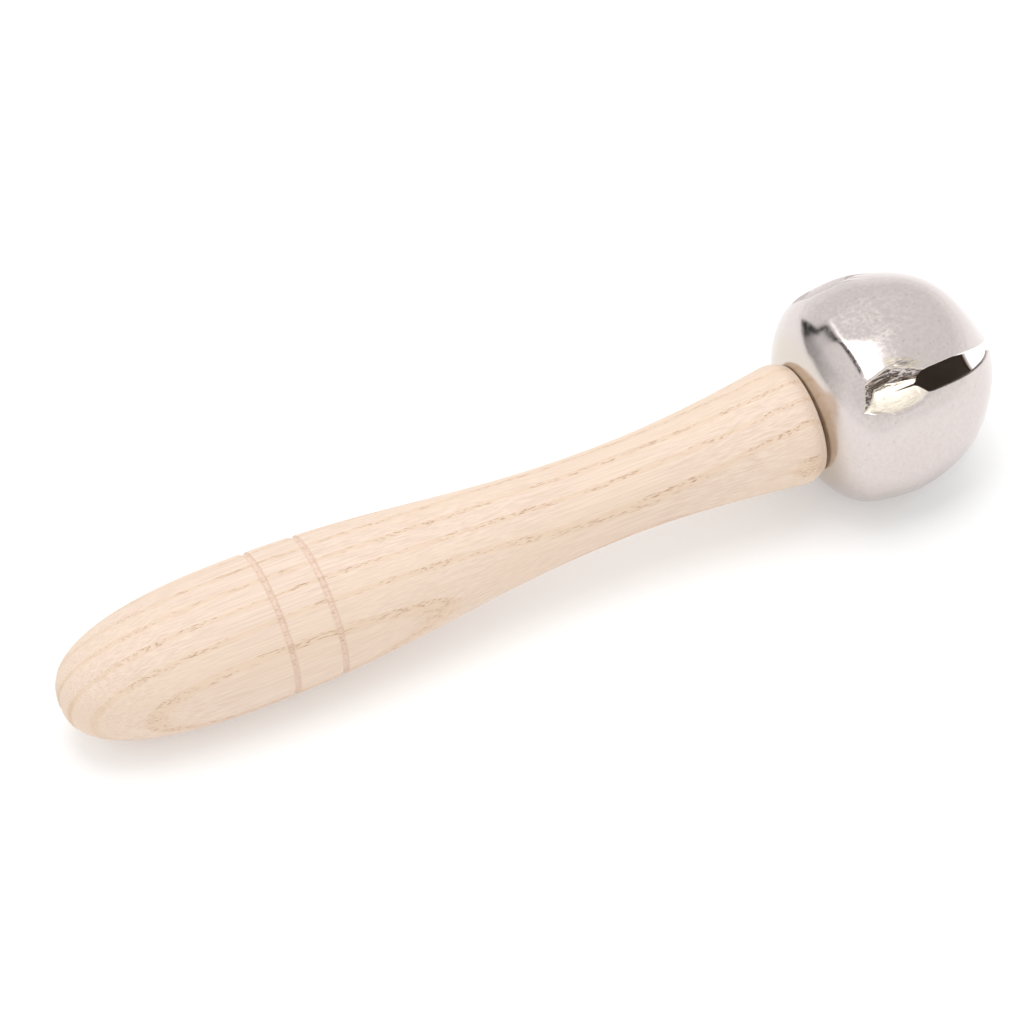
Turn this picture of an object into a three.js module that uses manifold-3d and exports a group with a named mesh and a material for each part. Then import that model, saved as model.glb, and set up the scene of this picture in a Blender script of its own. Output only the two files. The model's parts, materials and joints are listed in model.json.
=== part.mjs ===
// A hand bell: one large jingle bell, a sleigh bell, screwed to the end of a turned wooden handle.
// Millimetres, +Z up. The instrument lies on its side as it is put down on a table: the handle's
// thickest ring and the flat side of one bell petal touch the plane z = 0, and the handle's axis
// runs from the butt towards +X, a few degrees up. The origin is the centre of that footprint.

import * as THREE from "three";
import { mergeVertices } from "three/addons/utils/BufferGeometryUtils.js";
import Module from "manifold-3d";

// ---- Driving dimensions -------------------------------------------------------------------

// Handle, measured along its axis from the butt.
const HANDLE_LENGTH = 140.1;
const GRIP_RADIUS = 12.92;
const GRIP_STATION = 35.6;
const BUTT_SQUARENESS = 2.5; // exponent of the superellipse that rounds the butt
const GRIP_PULL = 27.4; // how far past the thickest ring the outline is still drawn along the axis
const WAIST_RADIUS = 8.35;
const WAIST_STATION = 103.6;
const WAIST_PULL_BEFORE = 27.6; // the same on either side of the waist
const WAIST_PULL_AFTER = 14.4;
const FLARE_RADIUS = 11;
const FLARE_STATION = 136.6;
const FLARE_PULL = 5.6; // the flare is reached from this far before it
const FLARE_RISE = 0.7; // and from this much below it
const LIP_BULGE = 0.2; // the flare's lip bulges this far past it
const LIP_LENGTH = 1.8;
const END_FACE_RADIUS = 9.8;
const END_EDGE_BREAK = 0.5;
const GROOVE_STATIONS = [38.2, 47.2];
const GROOVE_HALF_WIDTH = 0.55;
const GROOVE_DEPTH = 0.4;

// Bell, measured along its own axis from the outside of the crown.
const BELL_HALF_WIDTH = 18.7; // axis to the flat side of a petal, at the slots' roots
const CORNER_SWELL = 0.087; // how much further out the corners reach, as a share of the half width
const SWELL_STATION = 13.4;
const SWELL_SPREAD = 8;
const CROWN_FLAT_RADIUS = 9;
const CROWN_ROUNDING = 2.5;
const SHOULDER_STATION = 7.8;
const SHOULDER_ROUNDING = 4.9;
const NOSE_TIP_STATION = 37.9; // where the petals would meet
const NOSE_FULLNESS = 3.15;
const SHEET = 0.9;
const SLOT_ROOT_STATION = 15.8;
const SLOT_ROOT_HALF_WIDTH = 2.05;
const SLOT_BEND_STATION = 29; // from about here the slot narrows towards the mouth
const SLOT_MOUTH_HALF_WIDTH = 1.15;
const MOUTH_RADIUS = 2.6;

// What holds the bell on, and what rattles in it.
const CLEARANCE = 0.3; // between pieces that touch on the real object
const BELL_OFFSET = 1.15; // the screw and the bell sit this far off the handle's axis
const SCREW_RADIUS = 1.75;
const SCREW_CORE_RADIUS = 1.2;
const SCREW_LENGTH = 20;
const SCREW_PITCH = 1.6;
const SCREW_TIP_LENGTH = 4;
const SCREW_HEAD_RADIUS = 3.5;
const SCREW_HEAD_HEIGHT = 2.5;
const SCREW_HEAD_RIM = 0.35; // the rim's share of the head's height
const BORE_SPARE = 2; // the pilot hole is this much deeper than the screw
const RECESS_LENGTH = 4;
const RECESS_WIDTH = 0.9;
const RECESS_DEPTH = 1.5;
const WASHER_RADIUS = 6;
const WASHER_THICKNESS = 1;
const PELLET_RADIUS = 5;
const PELLET_STATION = 14;

// Facets round the axis, and points along each curve of an outline.
const HANDLE_SIDES = 32;
const BELL_SIDES = 56;
const SCREW_SIDES = 12;
const SCREW_HEAD_SIDES = 20;
const WASHER_SIDES = 28;
const PELLET_SIDES = 20;
const BUTT_STEPS = 13;
const SHAFT_STEPS = 9;
const SHOULDER_STEPS = 6;
const NOSE_STEPS = 7;
const HEAD_STEPS = 6;

// ---- Derived places ----------------------------------------------------------------------

// The handle's outline before its grooves are cut.
const handleOutline = [...buttOutline(), ...shaftOutline()];

// Lying down, the grip and the bell's flat side share one plane, the lowest that touches both.
// It makes this slope with the axis. Each petal's flat side has the same slope, so it lies flush.
const facetShare = Math.cos(Math.PI / HANDLE_SIDES);
const REST_SLOPE = Math.min(
  ...handleOutline.map(
    (p) =>
      (BELL_HALF_WIDTH - p.x * facetShare) /
      (HANDLE_LENGTH + CLEARANCE + SLOT_ROOT_STATION - p.y),
  ),
);
const REST_TILT = Math.atan(REST_SLOPE);

const WASHER_STATION = SHEET + CLEARANCE;
const HEAD_STATION = WASHER_STATION + WASHER_THICKNESS + CLEARANCE;
const SCREW_HOLE_RADIUS = SCREW_RADIUS + CLEARANCE;
const NOSE_LENGTH = NOSE_TIP_STATION - SLOT_ROOT_STATION;
const BELL_LENGTH =
  SLOT_ROOT_STATION + NOSE_LENGTH * (1 - MOUTH_RADIUS / BELL_HALF_WIDTH) ** (1 / NOSE_FULLNESS);
// The shank reaches this far into the wood.
const SCREW_REACH = SCREW_LENGTH - HEAD_STATION - CLEARANCE;

// ---- Materials ---------------------------------------------------------------------------

const ash = new THREE.MeshStandardMaterial({ color: 0xf0d8b8, roughness: 0.62, metalness: 0 });
const nickel = new THREE.MeshStandardMaterial({ color: 0xcfc8c2, roughness: 0.22, metalness: 1 });
const zincSteel = new THREE.MeshStandardMaterial({ color: 0xb4b6b8, roughness: 0.35, metalness: 1 });
const bareSteel = new THREE.MeshStandardMaterial({ color: 0x8a8886, roughness: 0.45, metalness: 1 });

// ---- Helpers -----------------------------------------------------------------------------

const wasm = await Module();
wasm.setup();

// A closed geometry as a manifold-3d solid, for cutting.
function solidOf(geometry) {
  const bare = geometry.clone();
  bare.deleteAttribute("normal");
  bare.deleteAttribute("uv");
  const merged = mergeVertices(bare, 1e-4);
  return new wasm.Manifold(
    new wasm.Mesh({
      numProp: 3,
      vertProperties: merged.attributes.position.array,
      triVerts: new Uint32Array(merged.index.array),
    }),
  );
}

// A manifold-3d solid as a geometry again.
function geometryOf(solid) {
  const { vertProperties, triVerts } = solid.getMesh();
  const geometry = new THREE.BufferGeometry();
  geometry.setAttribute("position", new THREE.BufferAttribute(vertProperties, 3));
  geometry.setIndex(new THREE.BufferAttribute(triVerts, 1));
  geometry.computeVertexNormals();
  return geometry;
}

function cut(geometry, ...tools) {
  return geometryOf(tools.reduce((left, tool) => left.subtract(solidOf(tool)), solidOf(geometry)));
}

// Turns an outline of (radius, station) points about the X axis. A facet faces straight down.
function turned(outline, sides) {
  const geometry = new THREE.LatheGeometry(outline, sides, Math.PI / sides);
  return geometry.rotateZ(-Math.PI / 2);
}

// A rod along X from one station to another.
function rod(radius, from, to, sides) {
  const geometry = new THREE.CylinderGeometry(radius, radius, to - from, sides);
  return geometry.rotateZ(-Math.PI / 2).translate((from + to) / 2, 0, 0);
}

function piece(name, geometry, material) {
  const mesh = new THREE.Mesh(geometry, material);
  mesh.name = name;
  return mesh;
}

// ---- Handle ------------------------------------------------------------------------------

// The rounded butt, from the tip to the thickest ring.
function buttOutline() {
  return Array.from({ length: BUTT_STEPS }, (_, i) => {
    const angle = ((i / BUTT_STEPS) * Math.PI) / 2;
    const station = GRIP_STATION * (1 - Math.cos(angle) ** 1.5);
    const gone = 1 - station / GRIP_STATION;
    const radius = GRIP_RADIUS * (1 - gone ** BUTT_SQUARENESS) ** (1 / BUTT_SQUARENESS);
    return new THREE.Vector2(i ? radius : 0, station);
  });
}

// From the thickest ring over the waist and the flare to the end face.
function shaftOutline() {
  const path = new THREE.Path();
  path.moveTo(GRIP_RADIUS, GRIP_STATION);
  path.bezierCurveTo(
    GRIP_RADIUS,
    GRIP_STATION + GRIP_PULL,
    WAIST_RADIUS,
    WAIST_STATION - WAIST_PULL_BEFORE,
    WAIST_RADIUS,
    WAIST_STATION,
  );
  path.bezierCurveTo(
    WAIST_RADIUS,
    WAIST_STATION + WAIST_PULL_AFTER,
    FLARE_RADIUS - FLARE_RISE,
    FLARE_STATION - FLARE_PULL,
    FLARE_RADIUS,
    FLARE_STATION,
  );
  path.quadraticCurveTo(
    FLARE_RADIUS + LIP_BULGE,
    HANDLE_LENGTH - LIP_LENGTH,
    END_FACE_RADIUS + END_EDGE_BREAK,
    HANDLE_LENGTH - END_EDGE_BREAK,
  );
  path.lineTo(END_FACE_RADIUS, HANDLE_LENGTH);
  path.lineTo(0, HANDLE_LENGTH);
  return path.getPoints(SHAFT_STEPS);
}

// The three points of a V groove cut round the handle at a station.
function grooved(outline, station) {
  const radiusAt = (x) => {
    const next = outline.findIndex((p) => p.y > x);
    const [a, b] = [outline[next - 1], outline[next]];
    return THREE.MathUtils.mapLinear(x, a.y, b.y, a.x, b.x);
  };
  const clear = outline.filter((p) => Math.abs(p.y - station) > GROOVE_HALF_WIDTH);
  const vee = [-GROOVE_HALF_WIDTH, 0, GROOVE_HALF_WIDTH].map(
    (d) => new THREE.Vector2(radiusAt(station + d) - (d ? 0 : GROOVE_DEPTH), station + d),
  );
  return [...clear, ...vee].sort((a, b) => a.y - b.y || b.x - a.x);
}

function makeHandle() {
  const outline = GROOVE_STATIONS.reduce(grooved, handleOutline);
  const bore = rod(SCREW_HOLE_RADIUS, -SCREW_REACH - BORE_SPARE, 1, SCREW_SIDES);
  bore.translate(HANDLE_LENGTH, BELL_OFFSET, 0);
  return piece("handle", cut(turned(outline, HANDLE_SIDES), bore), ash);
}

// ---- Bell shell --------------------------------------------------------------------------

// The flat side's outline, outside: flat crown, round shoulder, sloped flat, then a blunt nose
// that ends at the mouth.
function sideOutline() {
  const flatStart = BELL_HALF_WIDTH - REST_SLOPE * (SLOT_ROOT_STATION - SHOULDER_STATION);
  const path = new THREE.Path();
  path.moveTo(SCREW_HOLE_RADIUS, 0);
  path.lineTo(CROWN_FLAT_RADIUS, 0);
  path.bezierCurveTo(
    CROWN_FLAT_RADIUS + CROWN_ROUNDING,
    0,
    flatStart - SHOULDER_ROUNDING * REST_SLOPE,
    SHOULDER_STATION - SHOULDER_ROUNDING,
    flatStart,
    SHOULDER_STATION,
  );
  const nose = Array.from({ length: NOSE_STEPS + 1 }, (_, i) => {
    const share = Math.sin((i / NOSE_STEPS) * (Math.PI / 2));
    const station = THREE.MathUtils.lerp(SLOT_ROOT_STATION, BELL_LENGTH, share);
    const along = (station - SLOT_ROOT_STATION) / NOSE_LENGTH;
    return new THREE.Vector2(BELL_HALF_WIDTH * (1 - along ** NOSE_FULLNESS), station);
  });
  return [...path.getPoints(SHOULDER_STEPS), ...nose];
}

// The same outline moved in by the sheet's thickness, along its own normals.
function insideOutline(outside) {
  return outside.map((point, i) => {
    const before = outside[Math.max(i - 1, 0)];
    const after = outside[Math.min(i + 1, outside.length - 1)];
    const along = after.clone().sub(before).normalize();
    return new THREE.Vector2(point.x - along.y * SHEET, point.y + along.x * SHEET);
  });
}

// How far out a square with rounded corners reaches, as a share of its half width.
function squareReach(angle, swell) {
  const quarter = Math.PI / 2;
  const turn = Math.abs(angle - Math.round(angle / quarter) * quarter);
  const corner = (Math.SQRT2 - 1 - swell) / (Math.SQRT2 - 1);
  const flat = 1 - corner;
  if (Math.tan(turn) <= flat) return 1 / Math.cos(turn);
  const across = flat * (Math.cos(turn) - Math.sin(turn));
  return flat * (Math.cos(turn) + Math.sin(turn)) + Math.sqrt(corner ** 2 - across ** 2);
}

// Pushes the round shell out towards its four corners, most of all just behind the slots' roots.
function squareUp(geometry) {
  const points = geometry.attributes.position;
  for (let i = 0; i < points.count; i++) {
    const [x, y, z] = [points.getX(i), points.getY(i), points.getZ(i)];
    const swell = CORNER_SWELL * Math.exp(-(((x - SWELL_STATION) / SWELL_SPREAD) ** 2));
    const reach = squareReach(Math.atan2(z, y), swell);
    points.setXYZ(i, x, y * reach, z * reach);
  }
  return geometry;
}

// One cutter opens two opposite slots, each round at the root and narrowing to the mouth.
function slotCutter(turn) {
  const past = BELL_LENGTH + 4;
  const rootCentre = SLOT_ROOT_STATION + SLOT_ROOT_HALF_WIDTH;
  const outline = new THREE.Shape();
  outline.moveTo(past, SLOT_MOUTH_HALF_WIDTH);
  outline.lineTo(BELL_LENGTH, SLOT_MOUTH_HALF_WIDTH);
  outline.quadraticCurveTo(SLOT_BEND_STATION, SLOT_ROOT_HALF_WIDTH, rootCentre, SLOT_ROOT_HALF_WIDTH);
  outline.absarc(rootCentre, 0, SLOT_ROOT_HALF_WIDTH, Math.PI / 2, Math.PI * 1.5);
  outline.quadraticCurveTo(
    SLOT_BEND_STATION,
    -SLOT_ROOT_HALF_WIDTH,
    BELL_LENGTH,
    -SLOT_MOUTH_HALF_WIDTH,
  );
  outline.lineTo(past, -SLOT_MOUTH_HALF_WIDTH);
  const depth = 4 * BELL_HALF_WIDTH;
  const geometry = new THREE.ExtrudeGeometry(outline, { depth, bevelEnabled: false, curveSegments: 8 });
  return geometry.translate(0, 0, -depth / 2).rotateX(turn);
}

function makeBellShell() {
  const outside = sideOutline();
  const inside = insideOutline(outside).reverse();
  const loop = [...outside, ...inside, outside[0].clone()];
  const geometry = new THREE.LatheGeometry(loop, BELL_SIDES).rotateZ(-Math.PI / 2);
  const slotted = cut(squareUp(geometry), slotCutter(Math.PI / 4), slotCutter(-Math.PI / 4));
  return piece("bell_shell", slotted, nickel);
}

// ---- Screw, washer and pellet ---------------------------------------------------------------

// The thread is one surface wound round the shank: at each turn of the screw the same ridge comes
// round again, one pitch further on. Its ends close on the axis.
function makeScrew() {
  const rowsPerTurn = 4;
  const rows = Math.ceil((SCREW_LENGTH / SCREW_PITCH) * rowsPerTurn);
  const outline = Array.from({ length: rows + 1 }, (_, i) => {
    const station = SCREW_LENGTH * (i / rows - 1);
    return new THREE.Vector2(i ? SCREW_CORE_RADIUS : 0, station);
  });
  outline.push(new THREE.Vector2(0, 0.5));
  const geometry = new THREE.LatheGeometry(outline, SCREW_SIDES);
  const points = geometry.attributes.position;
  for (let i = 0; i < points.count; i++) {
    const [x, y, z] = [points.getX(i), points.getY(i), points.getZ(i)];
    const radius = Math.hypot(x, z);
    if (radius < SCREW_CORE_RADIUS / 2) continue;
    const phase = y / SCREW_PITCH - Math.atan2(z, x) / (2 * Math.PI);
    const ridge = 1 - 2 * Math.abs(phase - Math.round(phase));
    const taper = Math.min(1, (y + SCREW_LENGTH) / SCREW_TIP_LENGTH);
    const height = (SCREW_RADIUS - SCREW_CORE_RADIUS) * Math.max(0, 2 * ridge - 1);
    const grown = ((SCREW_CORE_RADIUS + height) * taper) / radius;
    points.setXYZ(i, x * grown, y, z * grown);
  }
  geometry.rotateZ(-Math.PI / 2);

  const head = new THREE.Path();
  head.moveTo(0, 0);
  head.lineTo(SCREW_HEAD_RADIUS, 0);
  head.lineTo(SCREW_HEAD_RADIUS, SCREW_HEAD_HEIGHT * SCREW_HEAD_RIM);
  head.quadraticCurveTo(SCREW_HEAD_RADIUS * 0.9, SCREW_HEAD_HEIGHT, 0, SCREW_HEAD_HEIGHT);
  const whole = solidOf(geometry).add(solidOf(turned(head.getPoints(HEAD_STEPS), SCREW_HEAD_SIDES)));
  const arms = [0, Math.PI / 2].map((turn) =>
    new THREE.BoxGeometry(RECESS_DEPTH * 2, RECESS_LENGTH, RECESS_WIDTH)
      .rotateX(turn)
      .translate(SCREW_HEAD_HEIGHT, 0, 0),
  );
  const recessed = arms.reduce((left, arm) => left.subtract(solidOf(arm)), whole);
  const screw = piece("mounting_screw", geometryOf(recessed), zincSteel);
  screw.position.x = HEAD_STATION;
  return screw;
}

function makeWasher() {
  const outline = [
    new THREE.Vector2(SCREW_HOLE_RADIUS, 0),
    new THREE.Vector2(WASHER_RADIUS, 0),
    new THREE.Vector2(WASHER_RADIUS, WASHER_THICKNESS),
    new THREE.Vector2(SCREW_HOLE_RADIUS, WASHER_THICKNESS),
    new THREE.Vector2(SCREW_HOLE_RADIUS, 0),
  ];
  const washer = piece("screw_washer", turned(outline, WASHER_SIDES), zincSteel);
  washer.position.x = WASHER_STATION;
  return washer;
}

// The loose ball lies on the inside of the lowest petal.
function makePellet() {
  const ball = new THREE.SphereGeometry(PELLET_RADIUS, PELLET_SIDES, PELLET_SIDES * 0.6);
  const pellet = piece("jingle_pellet", ball, bareSteel);
  const petalInside = BELL_HALF_WIDTH - REST_SLOPE * (SLOT_ROOT_STATION - PELLET_STATION) - SHEET;
  pellet.position.set(PELLET_STATION, 0, -(petalInside - PELLET_RADIUS - CLEARANCE));
  return pellet;
}

// ---- Assembly ----------------------------------------------------------------------------

const head = new THREE.Group();
head.add(makeBellShell(), makeScrew(), makeWasher(), makePellet());
head.position.set(HANDLE_LENGTH + CLEARANCE, BELL_OFFSET, 0);

const instrument = new THREE.Group();
instrument.add(makeHandle(), head);
instrument.rotation.y = -REST_TILT;

// Set it down on z = 0, with the middle of its footprint at the origin.
const box = new THREE.Box3().setFromObject(instrument, true);
const middle = box.getCenter(new THREE.Vector3());
instrument.position.set(-middle.x, -middle.y, -box.min.z);

const handBell = new THREE.Group();
handBell.add(instrument);

export default handBell;
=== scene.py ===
import json
import math

import bmesh
import bpy
import numpy as np
from mathutils import Matrix, Vector, noise

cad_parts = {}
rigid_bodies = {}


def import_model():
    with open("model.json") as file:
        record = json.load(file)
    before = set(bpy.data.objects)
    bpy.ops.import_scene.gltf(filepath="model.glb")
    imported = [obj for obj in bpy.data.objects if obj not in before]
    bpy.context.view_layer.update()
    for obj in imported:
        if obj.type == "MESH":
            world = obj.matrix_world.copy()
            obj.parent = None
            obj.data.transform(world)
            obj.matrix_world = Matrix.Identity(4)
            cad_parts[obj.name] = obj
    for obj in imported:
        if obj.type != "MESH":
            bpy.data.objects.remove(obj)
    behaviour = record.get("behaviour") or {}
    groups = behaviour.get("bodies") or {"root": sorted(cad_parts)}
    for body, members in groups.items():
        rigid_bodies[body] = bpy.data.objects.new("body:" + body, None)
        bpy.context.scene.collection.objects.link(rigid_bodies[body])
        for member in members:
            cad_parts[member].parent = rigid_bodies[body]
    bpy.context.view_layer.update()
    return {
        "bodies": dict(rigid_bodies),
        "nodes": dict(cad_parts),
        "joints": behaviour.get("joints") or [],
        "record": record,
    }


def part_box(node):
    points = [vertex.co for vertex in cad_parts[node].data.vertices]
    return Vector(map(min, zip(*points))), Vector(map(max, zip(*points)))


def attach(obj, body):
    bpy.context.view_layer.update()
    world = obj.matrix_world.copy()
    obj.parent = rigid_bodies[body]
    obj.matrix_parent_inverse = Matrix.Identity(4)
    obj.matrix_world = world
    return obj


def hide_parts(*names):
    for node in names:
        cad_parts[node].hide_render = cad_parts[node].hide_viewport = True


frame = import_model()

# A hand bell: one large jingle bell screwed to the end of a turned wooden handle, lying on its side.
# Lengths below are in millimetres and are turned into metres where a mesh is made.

MM = 0.001

# ---- Driving dimensions, as in the CAD model ------------------------------------------------

# Handle, along its axis from the tip of the butt.
HANDLE_LENGTH = 140.1
GRIP_RADIUS, GRIP_STATION = 12.92, 35.6
BUTT_SQUARENESS = 2.5
WAIST_RADIUS, WAIST_STATION = 8.35, 103.6
FLARE_RADIUS, FLARE_STATION = 11.0, 136.6
END_FACE_RADIUS, END_EDGE_BREAK = 9.8, 0.5
END_REACH = 0.2  # the visible end face stands this much closer to the bell's crown
GROOVE_STATIONS = (38.2, 47.2)
GROOVE_HALF_WIDTH, GROOVE_DEPTH = 0.6, 0.42
BORE_RADIUS, BORE_DEPTH = 2.05, 19.1
END_GRAIN_LENGTH, END_GRAIN_RELIEF = 9.0, 0.2
RING_SPACING, RING_SHIFT = 3.9, 0.235
# Where the outline's curves are pulled to, between the grip, the waist, the flare and the end face.
WAIST_CURVE_STATIONS, FLARE_CURVE_STATIONS = (63, 76), (118, 131)
FLARE_EASE, LIP_LENGTH, LIP_SWELL, END_ROUNDING = 0.7, 1.8, 0.2, 0.3

# Bell, along its own axis from the outside of the crown.
CLEARANCE = 0.3
BELL_HALF_WIDTH = 18.7
CORNER_SWELL, SWELL_STATION, SWELL_SPREAD = 0.087, 13.4, 8.0
CROWN_HOLE_RADIUS, CROWN_FLAT_RADIUS, CROWN_ROUNDING = 2.05, 9.0, 2.5
SHOULDER_STATION, SHOULDER_ROUNDING = 7.8, 4.9
SLOT_ROOT_STATION = 15.8
SLIT_STATION, SLOT_CORNER = 11.4, 17.3  # where the hairline slit starts, and the slot's corners
SLIT_HALF_WIDTH = 0.13
NOSE_TIP_STATION, NOSE_FULLNESS, MOUTH_RADIUS = 37.9, 3.15, 2.6
SHEET, EDGE_ROUNDING = 0.9, 0.16
CREASE_HEIGHT, LUMP_HEIGHT = 0.3, 0.05
PETAL_COUNT = 4
HALF_PETAL = 18.6  # from a petal's slot edge to its middle, as its columns are spaced
GUSSET_ZONE = (3.5, 19)  # the stations where the mesh is fine enough for the gussets
GUSSET_STEP, PLAIN_STEP, CROWN_STEP = 0.17, 0.5, 0.9
PELLET_RADIUS = 5.0

# Lying down, the grip and the flat side of a petal share one plane. It has this slope to the axis.
REST_SLOPE = 0.046428
TILT = math.atan(REST_SLOPE)

NOSE_LENGTH = NOSE_TIP_STATION - SLOT_ROOT_STATION
BELL_LENGTH = SLOT_ROOT_STATION + NOSE_LENGTH * (1 - MOUTH_RADIUS / BELL_HALF_WIDTH) ** (1 / NOSE_FULLNESS)


# ---- Places ---------------------------------------------------------------------------------

def middle(node, axis):
    low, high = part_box(node)
    return (low[axis] + high[axis]) / 2


def axis_frame(station, y):
    """The row frame's place of a point on the instrument's axis, with X turned along that axis."""
    tip_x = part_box("handle")[0].x
    rest_station = HANDLE_LENGTH + CLEARANCE + SLOT_ROOT_STATION
    tip_z = (BELL_HALF_WIDTH * math.cos(TILT) - rest_station * math.sin(TILT)) * MM
    along = Vector((math.cos(TILT), 0, math.sin(TILT))) * station * MM
    place = Vector((tip_x, y, tip_z)) + along
    return Matrix.Translation(place) @ Matrix.Rotation(-TILT, 4, "Y")


HANDLE_FRAME = axis_frame(0, middle("handle", 1))
BELL_FRAME = axis_frame(HANDLE_LENGTH + CLEARANCE, middle("bell_shell", 1))


# ---- Mesh helpers ---------------------------------------------------------------------------

def bezier(points, count):
    """Points along a curve with two or three control points, without its first point."""
    degree = len(points) - 1
    share = np.linspace(0, 1, count + 1)[1:, None]
    weights = [math.comb(degree, i) * share**i * (1 - share) ** (degree - i) for i in range(degree + 1)]
    return sum(w * np.array(p, float) for w, p in zip(weights, points))


def add_object(name, vertices, faces, place):
    mesh = bpy.data.meshes.new(name)
    mesh.from_pydata([place @ (Vector(v) * MM) for v in vertices], [], faces)
    obj = bpy.data.objects.new(name, mesh)
    bpy.context.scene.collection.objects.link(obj)
    return obj


def tidy_mesh(obj, merge=2e-7):
    """Joins shared points, turns the faces outwards and shades the piece smooth."""
    work = bmesh.new()
    work.from_mesh(obj.data)
    bmesh.ops.remove_doubles(work, verts=work.verts, dist=merge)
    bmesh.ops.dissolve_degenerate(work, edges=work.edges, dist=merge)
    bmesh.ops.recalc_face_normals(work, faces=work.faces)
    work.to_mesh(obj.data)
    work.free()
    obj.data.shade_smooth()
    return obj


def rings(rows, sides):
    """Closed skin over rows of (station, radius, shift in y). The first and last row are on the axis."""
    turns = np.arange(sides) * (2 * math.pi / sides)
    vertices, faces = [], []
    for station, radius, shift in rows:
        vertices += [(station, radius * math.cos(t) + shift, radius * math.sin(t)) for t in turns]
    for row in range(len(rows) - 1):
        for side in range(sides):
            after = (side + 1) % sides
            a, b = row * sides + side, row * sides + after
            faces.append((a, b, b + sides, a + sides))
    return vertices, faces


# ---- Handle ---------------------------------------------------------------------------------

def handle_outline():
    """(station, radius) from the butt's tip to the end face, without the grooves."""
    turns = np.linspace(0, math.pi / 2, 70)
    stations = GRIP_STATION * (1 - np.cos(turns) ** 1.5)
    gone = np.clip(1 - stations / GRIP_STATION, 0, 1)
    radii = GRIP_RADIUS * (1 - gone**BUTT_SQUARENESS) ** (1 / BUTT_SQUARENESS)
    butt = np.stack([stations, radii], 1)
    grip, waist = (GRIP_STATION, GRIP_RADIUS), (WAIST_STATION, WAIST_RADIUS)
    flare = (FLARE_STATION, FLARE_RADIUS)
    (grip_pull, waist_pull), (rise_pull, flare_pull) = WAIST_CURVE_STATIONS, FLARE_CURVE_STATIONS
    edge = (HANDLE_LENGTH - END_EDGE_BREAK, END_FACE_RADIUS + END_EDGE_BREAK)
    body = bezier([grip, (grip_pull, GRIP_RADIUS), (waist_pull, WAIST_RADIUS), waist], 90)
    rise = bezier([waist, (rise_pull, WAIST_RADIUS), (flare_pull, FLARE_RADIUS - FLARE_EASE), flare], 50)
    lip = bezier([flare, (HANDLE_LENGTH - LIP_LENGTH, FLARE_RADIUS + LIP_SWELL), edge], 12)
    end = HANDLE_LENGTH + END_REACH
    face = bezier([edge, (end, END_FACE_RADIUS + END_ROUNDING), (end, END_FACE_RADIUS)], 4)
    return np.vstack([butt, body, rise, lip, face])


def cut_grooves(outline):
    """Replaces the outline at each groove by a round-bottomed one with softly broken edges."""
    for station in GROOVE_STATIONS:
        reach = GROOVE_HALF_WIDTH * 1.6
        across = np.linspace(-reach, reach, 25)
        level = np.interp(station + across, outline[:, 0], outline[:, 1])
        share = np.clip(np.abs(across) / GROOVE_HALF_WIDTH, 0, 1)
        depth = GROOVE_DEPTH * (1 - share**2.6) ** 0.9
        groove = np.stack([station + across, level - depth], 1)
        keep = np.abs(outline[:, 0] - station) > reach
        outline = np.vstack([outline[keep], groove])
        outline = outline[np.argsort(outline[:, 0], kind="stable")]
    return outline


def raise_end_grain(point):
    """Sanding leaves the hard latewood a little proud of the soft earlywood at the butt's tip."""
    share = max(0.0, 1 - point.x / END_GRAIN_LENGTH) ** 1.5
    phase = (-point.y / RING_SPACING + RING_SHIFT) % 1
    wave = math.exp(-(((phase - 0.15) / 0.14) ** 2))
    inward = Vector((1, -point.y / GRIP_RADIUS, -point.z / GRIP_RADIUS)).normalized()
    return point + inward * (END_GRAIN_RELIEF * share * wave)


def make_handle():
    shift = (middle("bell_shell", 1) - middle("handle", 1)) / MM
    rows = [(station, radius, 0) for station, radius in cut_grooves(handle_outline())]
    for share in (0.25, 0.5, 0.75, 1):
        radius = END_FACE_RADIUS + (BORE_RADIUS - END_FACE_RADIUS) * share
        rows.append((HANDLE_LENGTH + END_REACH, radius, shift * share))
    rows.append((HANDLE_LENGTH - BORE_DEPTH, BORE_RADIUS, shift))
    rows.append((HANDLE_LENGTH - BORE_DEPTH - 1, 0, shift))
    vertices, faces = rings(rows, 160)
    vertices = [raise_end_grain(Vector(v)) for v in vertices]
    handle = tidy_mesh(add_object("turned_handle", vertices, faces, HANDLE_FRAME))
    handle.data.materials.append(ash_wood())
    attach(handle, "bell_on_handle")
    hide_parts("handle")
    return handle


# ---- Bell -----------------------------------------------------------------------------------

def bell_outline():
    """Closely spaced (radius, station) along a petal's flat side, outside, from the crown's hole."""
    flat_start = BELL_HALF_WIDTH - REST_SLOPE * (SLOT_ROOT_STATION - SHOULDER_STATION)
    crown = np.stack([np.linspace(CROWN_HOLE_RADIUS, CROWN_FLAT_RADIUS, 60), np.zeros(60)], 1)
    shoulder = bezier(
        [
            (CROWN_FLAT_RADIUS, 0),
            (CROWN_FLAT_RADIUS + CROWN_ROUNDING, 0),
            (flat_start - SHOULDER_ROUNDING * REST_SLOPE, SHOULDER_STATION - SHOULDER_ROUNDING),
            (flat_start, SHOULDER_STATION),
        ],
        400,
    )
    flat = bezier([(flat_start, SHOULDER_STATION), (BELL_HALF_WIDTH, SLOT_ROOT_STATION)], 200)
    turn = np.linspace(0, math.pi / 2, 900)[1:]
    stations = SLOT_ROOT_STATION + (BELL_LENGTH - SLOT_ROOT_STATION) * np.sin(turn)
    gone = (stations - SLOT_ROOT_STATION) / NOSE_LENGTH
    nose = np.stack([BELL_HALF_WIDTH * (1 - gone**NOSE_FULLNESS), stations], 1)
    return np.vstack([crown, shoulder, flat, nose])


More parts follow.
